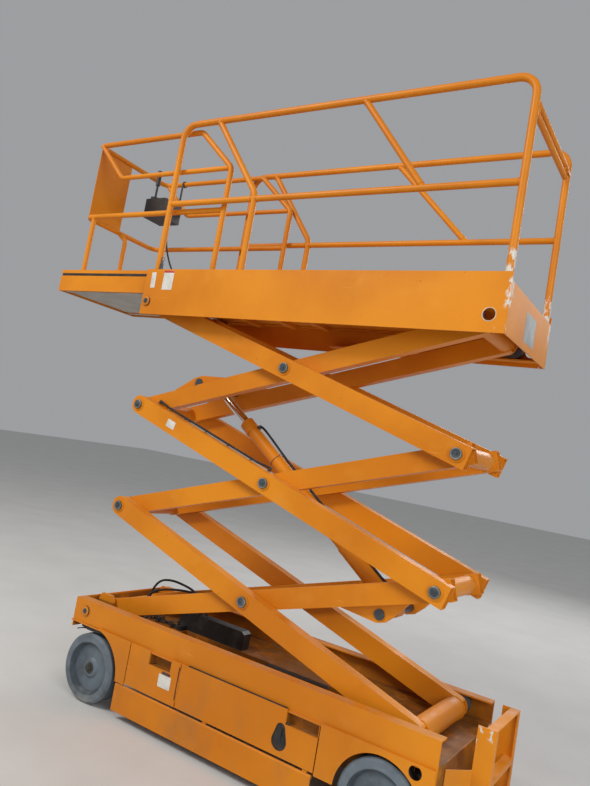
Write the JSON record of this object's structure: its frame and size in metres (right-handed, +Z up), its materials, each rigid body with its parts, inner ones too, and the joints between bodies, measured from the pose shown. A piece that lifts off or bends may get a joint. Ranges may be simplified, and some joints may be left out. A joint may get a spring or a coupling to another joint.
{
  "type": "scissor lift",
  "caption": "Narrow electric scissor lift standing raised, with stacked scissor arms, a railed platform and a pulled-out deck extension.",
  "frame": {"origin": "on the ground under the middle of the overall length and width", "axes": "+X forward to the steered wheels, +Y to the near side as seen in the picture, +Z up"},
  "size_m": [3.242, 0.8278, 3.4883],
  "materials": {
    "orange_paint": "satin",
    "dark_steel": "matte",
    "roller_plastic": "matte",
    "barrel_paint": "satin",
    "chrome_rod": "polished",
    "black_case": "matte",
    "cable_jacket": "matte",
    "grey_rubber": "matte",
    "grey_disc": "matte"
  },
  "bodies": {
    "chassis": {"chassis_frame": "orange_paint", "side_panels": "orange_paint", "ladder": "orange_paint", "battery_block": "black_case", "power_pack_block": "black_case", "trough_box": "black_case", "trough_hose_long": "cable_jacket", "trough_hose_short": "cable_jacket", "hose_glands": "dark_steel", "rear_axle": "dark_steel", "base_pins": "dark_steel"},
    "inner_1": {"inner_arms_1": "orange_paint", "cylinder_stubs_lower": "dark_steel"},
    "outer_1": {"outer_arms_1": "orange_paint", "pins_1": "dark_steel", "base_rollers": "roller_plastic"},
    "outer_2": {"outer_arms_2": "orange_paint", "pins_2": "dark_steel"},
    "inner_2": {"inner_arms_2": "orange_paint"},
    "inner_3": {"inner_arms_3": "orange_paint", "cylinder_shaft_upper": "dark_steel", "roller_pins": "dark_steel", "deck_rollers": "roller_plastic"},
    "outer_3": {"outer_arms_3": "orange_paint", "pins_3": "dark_steel"},
    "lift_rod": {"cylinder_rod": "chrome_rod"},
    "lift_barrel": {"cylinder_barrel": "barrel_paint"},
    "platform": {"platform_frame": "orange_paint", "main_rail_near": "orange_paint", "main_rail_far": "orange_paint"},
    "gate": {"entry_bar": "orange_paint"},
    "extension": {"extension_deck": "orange_paint", "extension_rails": "orange_paint", "front_sheet": "orange_paint", "control_box": "black_case", "joystick": "black_case", "control_cable": "cable_jacket", "cable_glands": "black_case"},
    "door_near": {"tray_door_near": "orange_paint"},
    "door_far": {"tray_door_far": "orange_paint"},
    "guard_near": {"pothole_guard_near": "orange_paint"},
    "guard_far": {"pothole_guard_far": "orange_paint"},
    "steer_near": {"knuckle_near": "dark_steel"},
    "steer_far": {"knuckle_far": "dark_steel"},
    "steer_link": {"tie_rod": "dark_steel"},
    "wheel_front_near": {"tyre_front_near": "grey_rubber", "disc_front_near": "grey_disc"},
    "wheel_front_far": {"tyre_front_far": "grey_rubber", "disc_front_far": "grey_disc"},
    "wheel_rear_near": {"tyre_rear_near": "grey_rubber", "disc_rear_near": "grey_disc"},
    "wheel_rear_far": {"tyre_rear_far": "grey_rubber", "disc_rear_far": "grey_disc"}
  },
  "joints": [
    {"name": "lift", "type": "hinge", "parent": "chassis", "child": "inner_1", "pos_m": [0.716, 0, 0.486], "axis": [0, 1, 0], "range_deg": [-12.64, 44]},
    {"name": "cross_1", "type": "hinge", "parent": "inner_1", "child": "outer_1", "pos_m": [-0.2888, 0, 0.79588], "axis": [0, 1, 0], "range_deg": [-88.02, 25.3]},
    {"name": "rear_pins_low", "type": "hinge", "parent": "inner_1", "child": "outer_2", "pos_m": [-1.2936, 0, 1.10577], "axis": [0, 1, 0], "range_deg": [-88.02, 25.3]},
    {"name": "cross_2", "type": "hinge", "parent": "outer_2", "child": "inner_2", "pos_m": [-0.2888, 0, 1.41566], "axis": [0, 1, 0], "range_deg": [-25.3, 88.02]},
    {"name": "front_pins_high", "type": "hinge", "parent": "outer_2", "child": "inner_3", "pos_m": [0.716, 0, 1.72554], "axis": [0, 1, 0], "range_deg": [-25.3, 88.02]},
    {"name": "cross_3", "type": "hinge", "parent": "inner_3", "child": "outer_3", "pos_m": [-0.2888, 0, 2.03543], "axis": [0, 1, 0], "range_deg": [-88.02, 25.3]},
    {"name": "deck_pins", "type": "hinge", "parent": "outer_3", "child": "platform", "pos_m": [0.716, 0, 2.34531], "axis": [0, 1, 0], "range_deg": [-12.66, 44.02]},
    {"name": "cylinder_swing", "type": "hinge", "parent": "inner_3", "child": "lift_rod", "pos_m": [0.36484, 0, 1.91023], "axis": [0, 1, 0], "range_deg": [-83.62, 24.04]},
    {"name": "cylinder_stroke", "type": "slide", "parent": "lift_rod", "child": "lift_barrel", "axis": [-0.8106, 0, -0.5856], "range_m": [-0.2768, 0.9609]},
    {"name": "extension_slide", "type": "slide", "parent": "platform", "child": "extension", "axis": [1, 0, 0], "range_m": [-0.85, 0.07]},
    {"name": "gate_hinge", "type": "hinge", "parent": "platform", "child": "gate", "pos_m": [-1.43, -0.305, 3.32931], "axis": [1, 0, 0], "range_deg": [0, 90]},
    {"name": "door_hinge_near", "type": "hinge", "parent": "chassis", "child": "door_near", "pos_m": [-0.064, 0.40975, 0.315], "axis": [0, 0, -1], "range_deg": [0, 110]},
    {"name": "door_hinge_far", "type": "hinge", "parent": "chassis", "child": "door_far", "pos_m": [-0.064, -0.40975, 0.315], "axis": [0, 0, 1], "range_deg": [0, 110]},
    {"name": "guard_hinge_near", "type": "hinge", "parent": "chassis", "child": "guard_near", "pos_m": [-0.261, 0.401, 0.181], "axis": [-1, 0, 0], "range_deg": [0, 80]},
    {"name": "guard_hinge_far", "type": "hinge", "parent": "chassis", "child": "guard_far", "pos_m": [-0.261, -0.401, 0.181], "axis": [1, 0, 0], "range_deg": [0, 80]},
    {"name": "kingpin_near", "type": "hinge", "parent": "chassis", "child": "steer_near", "pos_m": [0.611, 0.246, 0.39], "axis": [0, 0, 1], "range_deg": [-45, 45]},
    {"name": "kingpin_far", "type": "hinge", "parent": "chassis", "child": "steer_far", "pos_m": [0.611, -0.246, 0.39], "axis": [0, 0, 1], "range_deg": [-45, 45]},
    {"name": "tie_slide", "type": "slide", "parent": "chassis", "child": "steer_link", "axis": [0, 1, 0], "range_m": [-0.08, 0.08]},
    {"name": "spin_front_near", "type": "hinge", "parent": "steer_near", "child": "wheel_front_near", "pos_m": [0.611, 0.3415, 0.19], "axis": [0, 1, 0], "continuous": true},
    {"name": "spin_front_far", "type": "hinge", "parent": "steer_far", "child": "wheel_front_far", "pos_m": [0.611, -0.3415, 0.19], "axis": [0, 1, 0], "continuous": true},
    {"name": "spin_rear_near", "type": "hinge", "parent": "chassis", "child": "wheel_rear_near", "pos_m": [-1.213, 0.3415, 0.19], "axis": [0, 1, 0], "continuous": true},
    {"name": "spin_rear_far", "type": "hinge", "parent": "chassis", "child": "wheel_rear_far", "pos_m": [-1.213, -0.3415, 0.19], "axis": [0, 1, 0], "continuous": true}
  ],
  "couplings": [
    {"joint": "cross_1", "follows": "lift", "ratio": -2},
    {"joint": "rear_pins_low", "follows": "lift", "ratio": -2},
    {"joint": "cross_2", "follows": "lift", "ratio": 2},
    {"joint": "front_pins_high", "follows": "lift", "ratio": 2},
    {"joint": "cross_3", "follows": "lift", "ratio": -2},
    {"joint": "deck_pins", "follows": "lift", "ratio": 1},
    {"joint": "cylinder_swing", "follows": "lift", "ratio": -1.9},
    {"joint": "cylinder_stroke", "follows": "lift", "m_per_rad": 1.25},
    {"joint": "kingpin_far", "follows": "kingpin_near", "ratio": 1},
    {"joint": "tie_slide", "follows": "kingpin_near", "m_per_rad": 0.1}
  ]
}
